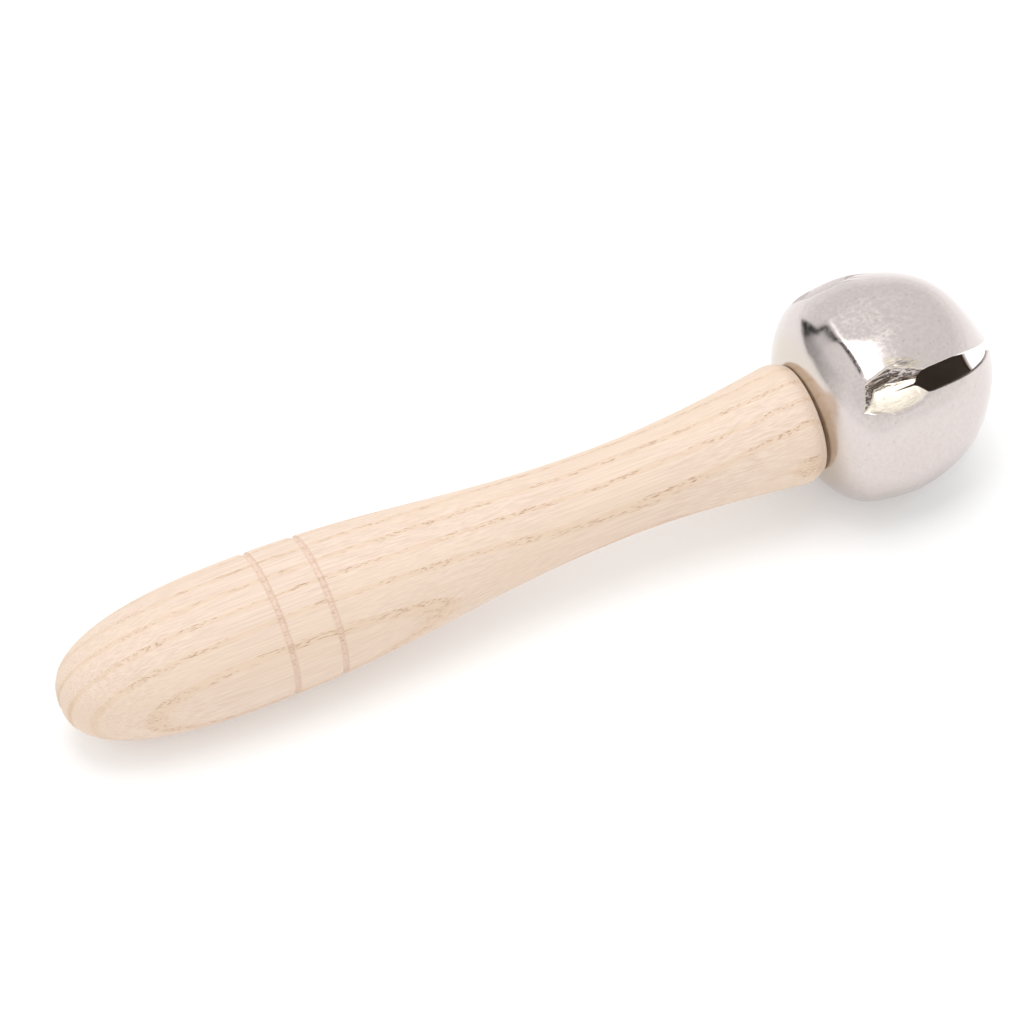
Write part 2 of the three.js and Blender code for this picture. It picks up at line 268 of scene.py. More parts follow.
def bell_rows():
    """(radius, station) rows along the outline, close together where the gussets are."""
    outline = bell_outline()
    length = np.concatenate([[0], np.cumsum(np.hypot(*np.diff(outline, axis=0).T))])
    places, at = [0.0], 0.0
    while at < length[-1]:
        station = np.interp(at, length, outline[:, 1])
        if GUSSET_ZONE[0] < station < GUSSET_ZONE[1]:
            at += GUSSET_STEP
        else:
            at += PLAIN_STEP if station > 1 else CROWN_STEP
        places.append(min(at, length[-1]))
    places = np.array(places)
    return np.interp(places, length, outline[:, 0]), np.interp(places, length, outline[:, 1])


def square_reach(angle, swell):
    """How far out a square with rounded corners reaches, as a share of its half width."""
    quarter = math.pi / 2
    turn = np.abs(angle - np.round(angle / quarter) * quarter)
    corner = (math.sqrt(2) - 1 - swell) / (math.sqrt(2) - 1)
    flat = 1 - corner
    across = flat * (np.cos(turn) - np.sin(turn))
    rounded = flat * (np.cos(turn) + np.sin(turn)) + np.sqrt(np.maximum(corner**2 - across**2, 0))
    return np.where(np.tan(turn) <= flat, 1 / np.cos(turn), rounded)


def slot_half_width(station):
    """A hairline slit, a V where the folded edges part, then the slot, closing towards the mouth."""
    stops = [0, SLIT_STATION, 15.6, 16.1, SLOT_CORNER, 18.5, 24, 27, 31, 34, BELL_LENGTH]
    widths = [0, 0, SLIT_HALF_WIDTH, 0.35, 1.95, 2.12, 2.1, 1.95, 1.5, 1.25, 1.1]
    return np.interp(station, stops, widths)


def edge_columns():
    """Distances in mm of a petal's columns from its slot edge to its middle."""
    rounding = [EDGE_ROUNDING * share for share in (0, 0.134, 0.5, 1)]
    fine = np.linspace(0.32, 6, 35)
    coarse = np.linspace(6, HALF_PETAL, 21)[1:]
    return np.concatenate([rounding, fine, coarse])


def mirrored(columns, sign):
    """A petal's columns from one edge to the other, from those of one half, middle included."""
    return np.concatenate([columns, sign * columns[..., -2::-1]], axis=-1)


# A gusset is the pressed-in pocket between two petals at a slot's root. Each facet of it starts at a
# rim, a line through two (station, distance across) places with the pocket on its left, and has a
# slope. The lower facet is broad and the upper one steep, so the fold lies above the slit. These two
# are true planes, whatever the curve of the sheet that they are pressed into.
GUSSET_FACETS = (
    ((10.8, -3.95), (17.3, -2.15), 0.5, 1),
    ((17.7, 2.3), (11.4, 4.6), 1.05, 1),
    ((11.4, 4.6), (6.7, 3.05), 1.3, 0),
    ((6.7, 3.05), (5.2, -1.7), 1.25, 0),
    ((5.2, -1.7), (10.8, -3.95), 1.7, 0),
)
# Where each gusset is round the bell, which way up it is, its size, and how creased and worn its folds
# are, which also sets how strongly painted reflections show on them.
GUSSETS = ((135, -1, 1.0, 1.0), (45, 1, 0.94, 0.2), (-45, -1, 1.04, 0.7), (-135, 1, 0.92, 0.7))


def smooth_least(a, b, width):
    blend = np.clip(0.5 + 0.5 * (b - a) / width, 0, 1)
    return b * (1 - blend) + a * blend - width * blend * (1 - blend)


def gusset_depth(station, across, ridge, size):
    """How far the sheet is pressed in beside a slot's centre line, and a share that places its scratches
    and painted reflections.

    The share is 0 outside a gusset, 0.5 on its broad lower facet and 1 on the steep ones.
    ridge is how far the plain sheet stands out there, above its height at the slot's corners.
    """
    station = SLOT_CORNER + (station - SLOT_CORNER) / size
    across = across / size
    depths = []
    for (s0, q0), (s1, q1), slope, plane in GUSSET_FACETS:
        inwards = (s1 - s0) * (across - q0) - (q1 - q0) * (station - s0)
        depths.append(slope * inwards / math.hypot(s1 - s0, q1 - q0) + plane * ridge)
    depth = depths[0]
    for other in depths[1:]:
        depth = smooth_least(depth, other, 0.16)
    depth = 0.5 * (depth + np.sqrt(depth**2 + 0.07**2)) * size
    steep = np.minimum.reduce(depths[1:4]) < depths[0]
    return depth, np.clip(depth / 0.35, 0, 1) * np.where(steep, 1, 0.5)


def reflections_past_rim(station, across):
    """Where painted reflections go on the sheet just past the rim of a gusset's upper facet, dark in the
    middle, as its own share of 1.
    """
    beside = across - 4.5 + 0.365 * (station - 14.3)
    return 0.86 * np.exp(-(((station - 14.3) / 3.0) ** 2) - (beside / 0.95) ** 2)


def creases(station, across, seed):
    """Wrinkles of the folded sheet, along the fold on a gusset's upper facet and past its rim."""
    wrinkles = np.zeros_like(station)
    facet = np.exp(-(((station - 12.8) / 3.4) ** 2) - ((across - 2.9) / 1.3) ** 2)
    shoulder = np.exp(-(((station - 15.5) / 3.6) ** 2) - ((across - 4.6) / 1.7) ** 2)
    near = facet + 0.7 * shoulder
    for i in np.argwhere(near > 0.02):
        i = tuple(i)
        along, beside = station[i] + 0.35 * across[i], across[i] - 0.25 * station[i]
        fold = noise.noise(Vector((along * 0.3, beside * 1.15, seed)))
        crumple = noise.noise(Vector((along * 0.75, beside * 2.1, seed + 7)))
        wrinkles[i] = near[i] * (fold + 0.5 * crumple)
    return wrinkles


# Of the petals facing +Y, +Z, -Y and -Z: how far each is bent out at its tip, how full its nose
# is before the bend, and how far short of the others it stops, in mm.
PETAL_BENDS = (0.25, 0.15, 0.1, 0.1)
PETAL_BULGES = (2.0, 5.5, -4.0, -2.0)
PETAL_TRIMS = (0, 0, 0, 1.5)
TRIM_START_STATION = 24
BEND_ALONG, BEND_OUT = 0.45, 0.89  # the direction in which a petal's tip is bent


def nose_share(station):
    return np.clip((station - SLOT_ROOT_STATION) / (BELL_LENGTH - SLOT_ROOT_STATION), 0, 1)


def petal_bend(petal, station):
    """A petal turns about its root, so its tip moves outwards and along the axis."""
    along = nose_share(station)
    centre = math.radians(90 * petal)
    out = np.array([BEND_ALONG, BEND_OUT * math.cos(centre), BEND_OUT * math.sin(centre)])
    return (PETAL_BENDS[petal] * along**4)[..., None] * out


def petal_bulge(petal, angles, station):
    """A nose that turns more sharply, fuller before its bend and flatter past it, between the edges."""
    along = nose_share(station)
    middle_share = 1 - np.sin(2 * (angles - math.radians(90 * petal))) ** 4
    return PETAL_BULGES[petal] * middle_share * along**2 * (1 - along / 0.8) * (1 - along**4)


def trimmed(radii, stations, trim):
    """The rows of a petal that stops short: those of its nose move back along the same outline."""
    kept = (BELL_LENGTH - trim - TRIM_START_STATION) / (BELL_LENGTH - TRIM_START_STATION)
    past = stations - TRIM_START_STATION
    moved = np.where(past > 0, TRIM_START_STATION + past * kept, stations)
    return np.where(moved < stations, np.interp(moved, stations, radii), radii), moved


def lumps(points):
    """Slow unevenness of a pressed sheet, in mm."""
    flat = points.reshape(-1, 3)
    values = [noise.noise(Vector(p) * 0.11) + 0.35 * noise.noise(Vector(p) * 0.27) for p in flat]
    return np.array(values).reshape(points.shape[:-1])


def surface_normals(angles, station, radii, swell):
    """Outward unit normals of the plain squared shell, before its gussets are pressed in."""
    step = 1e-4

    def place(angle, shift):
        r = np.interp(np.arange(len(radii)) + shift, np.arange(len(radii)), radii)
        s = np.interp(np.arange(len(radii)) + shift, np.arange(len(radii)), station[:, 0])
        w = np.interp(np.arange(len(radii)) + shift, np.arange(len(radii)), swell)
        reach = square_reach(angle, w[:, None]) * r[:, None]
        x = np.broadcast_to(s[:, None], angle.shape)
        return np.stack([x, reach * np.cos(angle), reach * np.sin(angle)], -1)

    around = place(angles + step, 0) - place(angles - step, 0)
    along = place(angles, 0.5) - place(angles, -0.5)
    normals = np.cross(around, along)
    normals /= np.linalg.norm(normals, axis=-1, keepdims=True)
    out = place(angles, 0) - np.array([12.0, 0, 0])
    return normals * np.sign((normals * out).sum(-1, keepdims=True))


def petal_angles(petal, widths, corner_reach):
    """How far round the bell each row's points are, from one slot's edge to the next."""
    opening = np.arcsin(np.clip(widths / corner_reach, 0, 0.95))
    span = (math.pi / 4 - opening)[:, None]
    return math.radians(90 * petal) + mirrored(-span * (1 - edge_columns() / HALF_PETAL), -1)


def folded_in(angles, station, reach, ridge):
    """How far the gussets press the sheet in, creases included, and the share that places its scratches
    and painted reflections.
    """
    depth, fold = np.zeros_like(station), np.zeros_like(station)
    for turn, side, size, wear_and_reflection in GUSSETS:
        across = side * reach * np.sin(angles - math.radians(turn))
        here = np.cos(angles - math.radians(turn)) > 0.6
        pressed, folded = gusset_depth(station, across, ridge, size)
        wrinkled = pressed + CREASE_HEIGHT * math.sqrt(wear_and_reflection) * creases(station, across, turn)
        depth = np.where(here, wrinkled, depth)
        # The fold share places painted dark and warm reflections, and scratches, on each gusset.
        fold = np.where(here, wear_and_reflection * np.maximum(folded, reflections_past_rim(station, across)), fold)
    return depth, fold


def edge_drop(station, widths):
    """How far each skin of the sheet draws back, to round its edges at the slots and the mouth."""
    open_share = np.clip(widths / SLIT_HALF_WIDTH, 0, 1)[:, None]
    inset = np.clip(1 - mirrored(edge_columns(), 1)[None, :] / EDGE_ROUNDING, 0, 1)
    slot_drop = EDGE_ROUNDING * (1 - np.sqrt(np.maximum(1 - inset**2, 0))) * open_share
    mouth = np.clip(1 - (station[-1] - station) / EDGE_ROUNDING, 0, 1)
    return np.maximum(slot_drop, EDGE_ROUNDING * (1 - np.sqrt(np.maximum(1 - mouth**2, 0))))


def petal_surface(petal, shared_rows):
    """A petal's outside and inside points as [row, column, xyz], folds, and which rows are slotted."""
    radii, stations = trimmed(*shared_rows, PETAL_TRIMS[petal])
    widths = slot_half_width(stations)
    swell = CORNER_SWELL * np.exp(-(((stations - SWELL_STATION) / SWELL_SPREAD) ** 2))
    corner_reach = radii * square_reach(np.full_like(radii, math.pi / 4), swell)
    angles = petal_angles(petal, widths, corner_reach)
    station = np.broadcast_to(stations[:, None], angles.shape)
    reach = square_reach(angles, swell[:, None]) * radii[:, None]
    sheet = np.stack([station, reach * np.cos(angles), reach * np.sin(angles)], -1)
    normals = surface_normals(angles, station, radii, swell)
    ridge = (corner_reach - np.interp(SLOT_CORNER, stations, corner_reach))[:, None]
    depth, fold = folded_in(angles, station, reach, ridge)
    height = petal_bulge(petal, angles, station) + LUMP_HEIGHT * lumps(sheet) - depth
    points = sheet + normals * height[..., None] + petal_bend(petal, station)
    drop = edge_drop(station, widths)
    outside = points - normals * drop[..., None]
    inside = points - normals * (SHEET - drop)[..., None]
    return outside, inside, fold, widths > 0


def bell_surface():
    """Outside and inside points as [row, petal, column, xyz], folds, and which rows are slotted."""
    shared_rows = bell_rows()
    petals = [petal_surface(petal, shared_rows) for petal in range(PETAL_COUNT)]
    outer, inner, folds, slotted = zip(*petals)
    return np.stack(outer, 1), np.stack(inner, 1), np.stack(folds, 1), slotted[-1]


def bell_faces(row_count, column_count, slotted):
    """Faces of the outside and inside skins, and of the edges between them."""
    layer = row_count * PETAL_COUNT * column_count

    def index(row, petal, column):
        return (row * PETAL_COUNT + petal) * column_count + column

    faces = []
    for row in range(row_count - 1):
        for petal in range(PETAL_COUNT):
            for column in range(column_count - 1):
                a, b = index(row, petal, column), index(row, petal, column + 1)
                c, d = index(row + 1, petal, column + 1), index(row + 1, petal, column)
                faces.append((a, b, c, d))
                faces.append((a + layer, d + layer, c + layer, b + layer))
            if slotted[row + 1]:
                for column in (0, column_count - 1):
                    a, b = index(row, petal, column), index(row + 1, petal, column)
                    faces.append((a, b, b + layer, a + layer))
    for row in (0, row_count - 1):
        for petal in range(PETAL_COUNT):
            for column in range(column_count - 1):
                a, b = index(row, petal, column), index(row, petal, column + 1)
                faces.append((a, b, b + layer, a + layer))
    return faces


def make_bell():
    outer, inner, folds, slotted = bell_surface()
    row_count, column_count = outer.shape[0], outer.shape[2]
    faces = bell_faces(row_count, column_count, slotted)
    vertices = np.concatenate([outer.reshape(-1, 3), inner.reshape(-1, 3)])
    bell = add_object("bell", vertices, faces, BELL_FRAME)
    inside = bell.data.attributes.new("inside", "FLOAT", "POINT")
    inside.data.foreach_set("value", np.repeat([0.0, 1.0], folds.size))
    # The fold attribute places the gussets' painted reflections and scratches.
    folded = bell.data.attributes.new("fold", "FLOAT", "POINT")
    folded.data.foreach_set("value", np.concatenate([folds.ravel(), np.zeros(folds.size)]))
    tidy_mesh(bell, 1e-7)
    bell.data.materials.append(nickel_plate())
    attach(bell, "bell_on_handle")
    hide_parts("bell_shell")
    return bell


# ---- Pellet, screw and washer ---------------------------------------------------------------

def make_pellet():
    """A rolled steel ball, slightly out of round, with a faint seam."""
    low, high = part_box("jingle_pellet")
    ball = bmesh.new()
    bmesh.ops.create_icosphere(ball, subdivisions=5, radius=PELLET_RADIUS * MM)
    for vertex in ball.verts:
        direction = vertex.co.normalized()
        seam = 0.05 * math.exp(-((direction.z * PELLET_RADIUS / 0.25) ** 2))
        dents = 0.05 * noise.noise(direction * 3) - 0.04
        vertex.co = direction * (PELLET_RADIUS - 0.06 + seam + dents) * MM
    mesh = bpy.data.meshes.new("rolling_pellet")
    ball.to_mesh(mesh)
    ball.free()
    mesh.shade_smooth()
    pellet = bpy.data.objects.new("rolling_pellet", mesh)
    bpy.context.scene.collection.objects.link(pellet)
    pellet.matrix_world = Matrix.Translation((low + high) / 2)
    mesh.materials.append(pellet_steel())
    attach(pellet, "pellet")
    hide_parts("jingle_pellet")
    return pellet


def finish_fasteners():
    """The screw and the washer keep their CAD shapes, with softened edges and a plated finish."""
    zinc = zinc_steel()
    for name in ("mounting_screw", "screw_washer"):
        node = frame["nodes"][name]
        node.data.materials.clear()
        node.data.materials.append(zinc)
        bevel = node.modifiers.new("edges", "BEVEL")
        bevel.width = 0.06 * MM
        bevel.segments = 2
        bevel.limit_method = "ANGLE"
        bevel.angle_limit = math.radians(40)


# ---- Materials ------------------------------------------------------------------------------

class Nodes:
    """Short names for making and linking one material's shader nodes."""

    def __init__(self, name):
        self.material = bpy.data.materials.new(name)
        self.material.use_nodes = True
        self.tree = self.material.node_tree
        self.shader = self.tree.nodes["Principled BSDF"]

    def put(self, node, socket, value):
        if isinstance(value, bpy.types.NodeSocket):
            self.tree.links.new(value, node.inputs[socket])
        elif value is not None:
            node.inputs[socket].default_value = value

    def millimetres(self, frame=Matrix()):
        """The place on the surface in millimetres, in the given frame."""
        node = self.tree.nodes.new("ShaderNodeMapping")
        node.vector_type = "TEXTURE"
        node.inputs["Location"].default_value = frame.translation
        node.inputs["Rotation"].default_value = frame.to_euler()
        node.inputs["Scale"].default_value = (MM, MM, MM)
        self.put(node, "Vector", self.tree.nodes.new("ShaderNodeTexCoord").outputs["Object"])
        return node.outputs[0]

    def attribute(self, name):
        node = self.tree.nodes.new("ShaderNodeAttribute")
        node.attribute_name = name
        return node.outputs["Fac"]

    def facing(self, axis):
        """How squarely the surface faces along an axis, either way."""
        geometry = self.tree.nodes.new("ShaderNodeNewGeometry")
        return self.math("ABSOLUTE", self.split(geometry.outputs["Normal"])[axis])

    def scaled(self, vector, scale):
        node = self.tree.nodes.new("ShaderNodeVectorMath")
        node.operation = "MULTIPLY"
        self.put(node, 0, vector)
        node.inputs[1].default_value = scale
        return node.outputs[0]

    def split(self, vector):
        node = self.tree.nodes.new("ShaderNodeSeparateXYZ")
        self.put(node, 0, vector)
        return node.outputs

    def math(self, operation, a, b=None, c=None):
        node = self.tree.nodes.new("ShaderNodeMath")
        node.operation = operation
        for socket, value in enumerate((a, b, c)):
            self.put(node, socket, value)
        return node.outputs[0]

    def noise(self, vector, scale, detail=2.0, roughness=0.5):
        node = self.tree.nodes.new("ShaderNodeTexNoise")
        self.put(node, "Vector", vector)
        node.inputs["Scale"].default_value = scale
        node.inputs["Detail"].default_value = detail
        node.inputs["Roughness"].default_value = roughness
        return node.outputs["Fac"]

    def cells(self, vector, scale):
        node = self.tree.nodes.new("ShaderNodeTexVoronoi")
        self.put(node, "Vector", vector)
        node.inputs["Scale"].default_value = scale
        return node.outputs["Distance"]

    def remap(self, value, low, high, to_low=0.0, to_high=1.0):
        node = self.tree.nodes.new("ShaderNodeMapRange")
        node.interpolation_type = "SMOOTHSTEP"
        for socket, number in enumerate((value, low, high, to_low, to_high)):
            self.put(node, socket, number)
        return node.outputs[0]

    def mix(self, share, a, b):
        node = self.tree.nodes.new("ShaderNodeMix")
        node.data_type = "RGBA"
        self.put(node, 0, share)
        for socket, colour in ((6, a), (7, b)):
            self.put(node, socket, (*colour, 1) if isinstance(colour, tuple) else colour)
        return node.outputs[2]

    def bump(self, height, strength, distance, under=None):
        node = self.tree.nodes.new("ShaderNodeBump")
        node.inputs["Strength"].default_value = strength
        node.inputs["Distance"].default_value = distance
        self.put(node, "Height", height)
        self.put(node, "Normal", under)
        return node.outputs[0]

    def finish(self, **sockets):
        for socket, value in sockets.items():
            self.put(self.shader, socket.replace("_", " "), value)
        return self.material


def near_groove(m, x, station):
    """1 at the bottom of the groove at a station, and 0 outside it."""
    away = m.math("ABSOLUTE", m.math("SUBTRACT", x, station))
    return m.remap(away, GROOVE_HALF_WIDTH * 0.35, GROOVE_HALF_WIDTH, 1.0, 0.0)


def ash_wood():
    """Ring-porous ash: pale smooth latewood, and bands of open pores along each growth ring."""
    m = Nodes("ash_wood")
    place = m.millimetres(HANDLE_FRAME)
    x, y, z = m.split(place)
    wander = m.math("SUBTRACT", m.noise(m.scaled(place, (0.02, 0.05, 0.05)), 1.0, 1.0), 0.5)
    bow = m.math("MULTIPLY", m.math("MULTIPLY", z, z), 0.006)
    ring = m.math("SUBTRACT", m.math("MULTIPLY", wander, 1.6), m.math("ADD", y, bow))
    phase = m.math("FRACT", m.math("ADD", m.math("DIVIDE", ring, RING_SPACING), RING_SHIFT + 10))
    early = m.math("MULTIPLY", m.remap(phase, 0.0, 0.05), m.remap(phase, 0.16, 0.3, 1.0, 0.0))
    gaps = m.noise(m.scaled(place, (0.11, 0.9, 0.9)), 1.0, 2.0)
    long_pores = m.remap(m.cells(m.scaled(place, (0.2, 5.4, 5.4)), 1.0), 0.18, 0.34, 1.0, 0.0)
    short_pores = m.remap(m.cells(m.scaled(place, (0.5, 4.6, 4.6)), 1.0), 0.14, 0.3, 0.9, 0.0)
    dashes = m.math("MULTIPLY", m.math("MAXIMUM", long_pores, short_pores), early)
    dashes = m.math("MULTIPLY", dashes, m.remap(gaps, 0.38, 0.55))
    dashes = m.math("MULTIPLY", dashes, m.remap(m.facing(0), 0.15, 0.6, 1.0, 0.4))
    stray_cells = m.cells(m.scaled(place, (0.16, 4.2, 4.2)), 1.0)
    stray = m.math("MULTIPLY", m.remap(stray_cells, 0.08, 0.2, 0.3, 0.0), m.remap(gaps, 0.45, 0.7))
    fibre = m.noise(m.scaled(place, (0.05, 3.4, 3.4)), 1.0, 3.0, 0.65)
    cloud = m.noise(m.scaled(place, (0.03, 0.12, 0.12)), 1.0, 2.0)
    end_grain = m.remap(m.facing(0), 0.55, 0.97)
    pale = m.mix(m.remap(fibre, 0.3, 0.7), (0.68, 0.525, 0.42), (0.79, 0.645, 0.535))
    pale = m.mix(m.remap(cloud, 0.35, 0.7, 0.0, 0.5), pale, (0.76, 0.605, 0.47))
    banded = m.mix(m.math("MULTIPLY", early, 0.45), pale, (0.71, 0.53, 0.375))
    speckle = m.remap(m.noise(m.scaled(place, (2.2, 2.2, 2.2)), 1.0, 2.0), 0.4, 0.62)
    speckled = m.math("ADD", m.math("MULTIPLY", speckle, 0.5), 0.3)
    sawn = m.math("MULTIPLY", m.math("MULTIPLY", end_grain, early), speckled)
    banded = m.mix(m.math("MULTIPLY", sawn, 0.6), banded, (0.62, 0.42, 0.26))
    pored = m.mix(m.math("MULTIPLY", dashes, 0.8), banded, (0.47, 0.235, 0.105))
    pored = m.mix(stray, pored, (0.52, 0.33, 0.2))
    grooved = m.math("MAXIMUM", *[near_groove(m, x, station) for station in GROOVE_STATIONS])
    # A darker, pinker tone with fine dark ticks towards the bottom of each groove.
    ticks = m.remap(m.noise(m.scaled(place, (1.2, 2.6, 2.6)), 1.0, 3.0, 0.7), 0.48, 0.66)
    groove_tone = m.mix(ticks, (0.76, 0.57, 0.47), (0.42, 0.29, 0.23))
    colour = m.mix(m.math("MULTIPLY", grooved, 0.55), pored, groove_tone)
    hollows = m.math("SUBTRACT", m.math("MULTIPLY", fibre, 0.14), dashes)
    normal = m.bump(hollows, 0.6, 0.00013)
    rough = m.remap(fibre, 0.2, 0.8, 0.52, 0.66)
    return m.finish(Base_Color=colour, Roughness=rough, Normal=normal, Specular_IOR_Level=0.3)


def nickel_plate():
    """Softly polished nickel on pressed steel: fine mottling, pits, scratches, a dull unpolished inside,
    and painted reflections: dark streaks on the gussets' steep facets, and a warm tone on their broad
    facets and by the crown.
    """
    m = Nodes("nickel_plate")
    place = m.millimetres(BELL_FRAME)
    mottle = m.noise(place, 1.3, 4.0, 0.62)
    grain = m.noise(place, 5.0, 2.0, 0.5)
    pits = m.remap(m.cells(place, 0.62), 0.06, 0.17, 1.0, 0.0)
    inside, fold = m.attribute("inside"), m.attribute("fold")
    streaks = m.noise(m.scaled(place, (0.4, 3.0, 3.0)), 1.0, 3.0, 0.7)
    steep, pressed = m.remap(fold, 0.6, 0.95), m.remap(fold, 0.1, 0.5)
    # Painted dark reflection: near-black streaks on the gussets' steep facets and just past their rims.
    dark_reflection_streaks = m.math("MULTIPLY", m.remap(streaks, 0.38, 0.56), steep)
    scratches = m.noise(m.scaled(place, (0.22, 4.5, 4.5)), 1.0, 2.0, 0.6)
    scratched = m.math("MULTIPLY", m.remap(scratches, 0.54, 0.66), pressed)
    # Painted reflection: a warm tone near the crown, where the handle's wood is mirrored, and on the
    # gussets' broad facets.
    wood_reflection_by_crown = m.remap(m.split(place)[0], 0.3, 3.0, 0.7, 0.0)
    warm_reflection = m.math("MAXIMUM", m.math("SUBTRACT", pressed, steep), wood_reflection_by_crown)
    outside = m.mix(m.remap(mottle, 0.35, 0.65), (0.635, 0.57, 0.55), (0.675, 0.61, 0.59))
    outside = m.mix(m.math("MULTIPLY", pits, 0.3), outside, (0.38, 0.33, 0.30))
    # Mixes in the painted warm reflection.
    outside = m.mix(warm_reflection, outside, (0.63, 0.565, 0.48))
    outside = m.mix(m.math("MULTIPLY", scratched, 0.5), outside, (0.38, 0.33, 0.28))
    # Mixes in the painted dark reflection, near black.
    outside = m.mix(m.math("MULTIPLY", dark_reflection_streaks, 0.92), outside, (0.06, 0.045, 0.04))
    colour = m.mix(inside, outside, (0.42, 0.35, 0.30))
    polish = m.remap(mottle, 0.3, 0.7, 0.13, 0.21)
    rough = m.math("ADD", polish, m.math("MULTIPLY", inside, 0.3))
    height = m.math("ADD", m.math("MULTIPLY", grain, 0.4), m.math("MULTIPLY", mottle, 0.6))
    height = m.math("SUBTRACT", height, pits)
    normal = m.bump(height, 0.09, 0.00006)
    return m.finish(Base_Color=colour, Metallic=1.0, Roughness=rough, Normal=normal)


def steel(name, dark, light, rough_low, rough_high):
    """Steel with fine mottling and small dings."""
    m = Nodes(name)
    place = m.millimetres()
    mottle = m.noise(place, 1.2, 4.0, 0.6)
    dings = m.remap(m.cells(place, 0.8), 0.1, 0.25, 1.0, 0.0)
    colour = m.mix(m.remap(mottle, 0.3, 0.7), dark, light)
    rough = m.remap(mottle, 0.3, 0.7, rough_low, rough_high)
    normal = m.bump(m.math("SUBTRACT", mottle, dings), 0.2, 0.00005)
    return m.finish(Base_Color=colour, Metallic=1.0, Roughness=rough, Normal=normal)


def pellet_steel():
    return steel("pellet_steel", (0.38, 0.36, 0.34), (0.52, 0.51, 0.50), 0.32, 0.5)


def zinc_steel():
    return steel("zinc_steel", (0.55, 0.57, 0.60), (0.68, 0.69, 0.70), 0.24, 0.38)


# ---- Studio, in metres ----------------------------------------------------------------------

CAMERA_PLACE = (-0.20278, -0.42756, 0.56104)
CAMERA_AZIMUTH, CAMERA_ELEVATION = -24.92, 49.0
FOCAL_LENGTH = 146.25
FLOOR_HALF_WIDTH = 3.0
CARD_DISTANCE = 0.9
SOFTBOX_GLOW, DARK_GLOW = 4.5, 0.02
LAMP_SIZE, LAMP_POWER, LAMP_PLACE = 0.8, 4.0, (0, 0.15, 1.0)
HORIZON_GLOW, OVERHEAD_GLOW, HORIZON_FADE = 1.1, 0.93, 0.4

def plain(name, colour, glow=0.0):
    material = bpy.data.materials.new(name)
    material.use_nodes = True
    shader = material.node_tree.nodes["Principled BSDF"]
    shader.inputs["Base Color"].default_value = (*colour, 1)
    shader.inputs["Roughness"].default_value = 0.9
    shader.inputs["Specular IOR Level"].default_value = 0.1
    shader.inputs["Emission Color"].default_value = (1, 1, 1, 1)
    shader.inputs["Emission Strength"].default_value = glow
    return material


def stage_mesh(name, corners, faces, material):
    mesh = bpy.data.meshes.new(name)
    mesh.from_pydata(corners, [], faces)
    mesh.materials.append(material)
    obj = bpy.data.objects.new(name, mesh)
    bpy.context.scene.collection.objects.link(obj)
    return obj


def make_floor():
    half = FLOOR_HALF_WIDTH
    corners = [(-half, -half, 0), (half, -half, 0), (half, half, 0), (-half, half, 0)]
    stage_mesh("floor", corners, [(0, 1, 2, 3)], plain("pale_floor", (0.78, 0.78, 0.78), 0.22))


def card_glow():
    """Light as strong as the card's own glow attribute, which fades from corner to corner."""
    material = plain("card_glow", (0.0, 0.0, 0.0))
    tree = material.node_tree
    glow = tree.nodes.new("ShaderNodeAttribute")
    glow.attribute_name = "glow"
    tree.links.new(glow.outputs["Fac"], tree.nodes["Principled BSDF"].inputs["Emission Strength"])
    return material


def make_card(name, material, rows):
    """A studio card off camera, between rows of corners.

    A corner is its direction seen from the bell, and its glow.
    """
    centre = BELL_FRAME @ Vector((15 * MM, 0, 0))
    corners = [corner for row in rows for corner in row]
    places = [centre + Vector(corner[:3]).normalized() * CARD_DISTANCE for corner in corners]
    faces = [(i, i + 1, i + 3, i + 2) for i in range(0, len(corners) - 2, 2)]
    card = stage_mesh(name, places, faces, material)
    glow = card.data.attributes.new("glow", "FLOAT", "POINT")
    glow.data.foreach_set("value", [corner[3] for corner in corners])
    card.visible_camera = False
    card.visible_diffuse = False
    card.visible_shadow = False


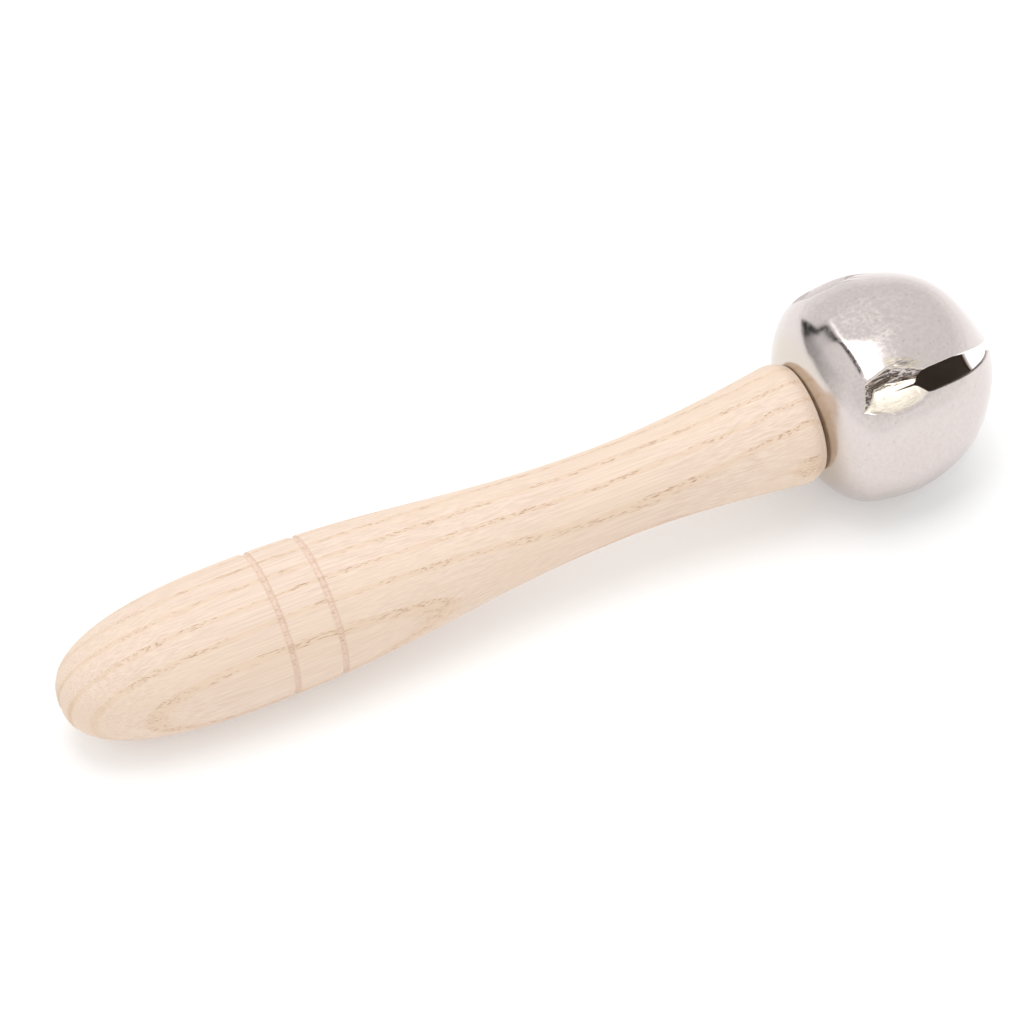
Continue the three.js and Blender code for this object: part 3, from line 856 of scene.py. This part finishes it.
def make_cards():
    """What the nickel mirrors: a long softbox overhead, and a dim side beyond a dark frame."""
    card, bright, dark = card_glow(), SOFTBOX_GLOW, DARK_GLOW
    far_left, far_right = (-0.02, 0.55, 0.83), (0.165, 0.5, 0.85)
    near_left, near_right = (-0.2, -0.45, 0.87), (-0.09, -0.45, 0.89)
    softbox = [
        ((*far_left, bright), (*far_right, bright)),
        ((*near_left, bright), (*near_right, bright)),
    ]
    make_card("softbox", card, softbox)
    edge = [
        ((0.095, 0.25, 0.96, 1.0), (0.24, 0.25, 0.94, 0.93)),
        ((0.04, 0.05, 1.0, 1.25), (0.2, 0.05, 0.98, 1.1)),
        ((*near_right, 1.5), (0.13, -0.45, 0.88, 1.3)),
    ]
    make_card("softbox_edge", card, edge)
    foot = -0.018
    low, mid, high = (-0.66, 0.75, foot), (-0.63, 0.63, 0.46), (-0.25, 0.48, 0.84)
    corner = [
        ((-0.4, 0.92, foot, dark), (*low, dark)),
        ((-0.54, 0.71, 0.46, dark), (*mid, dark)),
        ((-0.09, 0.55, 0.83, dark), (*high, dark)),
    ]
    make_card("dark_corner", card, corner)
    end = (-0.4, -0.25, 0.88)
    frame_edge = [((*far_left, dark), (*high, dark)), ((-0.17, -0.2, 0.96, dark), (*end, 0.1))]
    make_card("dark_frame", card, frame_edge)
    side = [
        ((*low, 0.2), (-0.84, 0.54, foot, 0.25)),
        ((-0.655, 0.72, 0.1, 0.3), (-0.84, 0.5, 0.1, 0.5)),
        ((*mid, 0.85), (-0.84, 0.32, 0.44, 0.9)),
        ((*high, 1.0), (*end, 1.05)),
    ]
    make_card("dim_side", card, side)
    pale = [
        ((-0.84, 0.54, foot, 0.25), (-0.97, -0.2, foot, 1.1)),
        ((-0.84, 0.5, 0.1, 0.5), (-0.97, -0.2, 0.15, 1.05)),
        ((-0.84, 0.32, 0.44, 0.9), (-0.8, -0.25, 0.5, 1.0)),
        ((*end, 1.05), (-0.42, -0.3, 0.85, 0.95)),
    ]
    make_card("pale_side", card, pale)


def make_lamp():
    """A large soft lamp overhead. It lights the wood and the floor; the cards serve the nickel."""
    light = bpy.data.lights.new("soft_lamp", "AREA")
    light.shape = "DISK"
    light.size = LAMP_SIZE
    light.energy = LAMP_POWER
    lamp = bpy.data.objects.new("soft_lamp", light)
    bpy.context.scene.collection.objects.link(lamp)
    lamp.location = LAMP_PLACE
    lamp.visible_glossy = False


def make_world():
    """White overhead, and a little brighter at the horizon, where it meets the floor."""
    world = bpy.data.worlds.new("studio")
    world.use_nodes = True
    tree = world.node_tree
    background = tree.nodes["Background"]
    background.inputs["Color"].default_value = (1, 1, 1, 1)
    direction = tree.nodes.new("ShaderNodeSeparateXYZ")
    tree.links.new(tree.nodes.new("ShaderNodeTexCoord").outputs["Generated"], direction.inputs[0])
    fade = tree.nodes.new("ShaderNodeMapRange")
    fade.interpolation_type = "SMOOTHSTEP"
    fade.inputs["From Max"].default_value = HORIZON_FADE
    fade.inputs["To Min"].default_value = HORIZON_GLOW
    fade.inputs["To Max"].default_value = OVERHEAD_GLOW
    tree.links.new(direction.outputs["Z"], fade.inputs["Value"])
    tree.links.new(fade.outputs["Result"], background.inputs["Strength"])
    bpy.context.scene.world = world
    bpy.context.scene.view_settings.view_transform = "Standard"


def make_camera():
    camera = bpy.data.cameras.new("camera")
    camera.lens = FOCAL_LENGTH
    camera.sensor_width = 36
    obj = bpy.data.objects.new("camera", camera)
    bpy.context.scene.collection.objects.link(obj)
    obj.location = CAMERA_PLACE
    turn = Matrix.Rotation(math.radians(CAMERA_AZIMUTH), 4, "Z")
    tip = Matrix.Rotation(math.radians(90 - CAMERA_ELEVATION), 4, "X")
    obj.rotation_euler = (turn @ tip).to_euler()
    bpy.context.scene.camera = obj


make_camera()
make_world()
make_floor()
make_cards()
make_lamp()
make_handle()
make_bell()
make_pellet()
finish_fasteners()
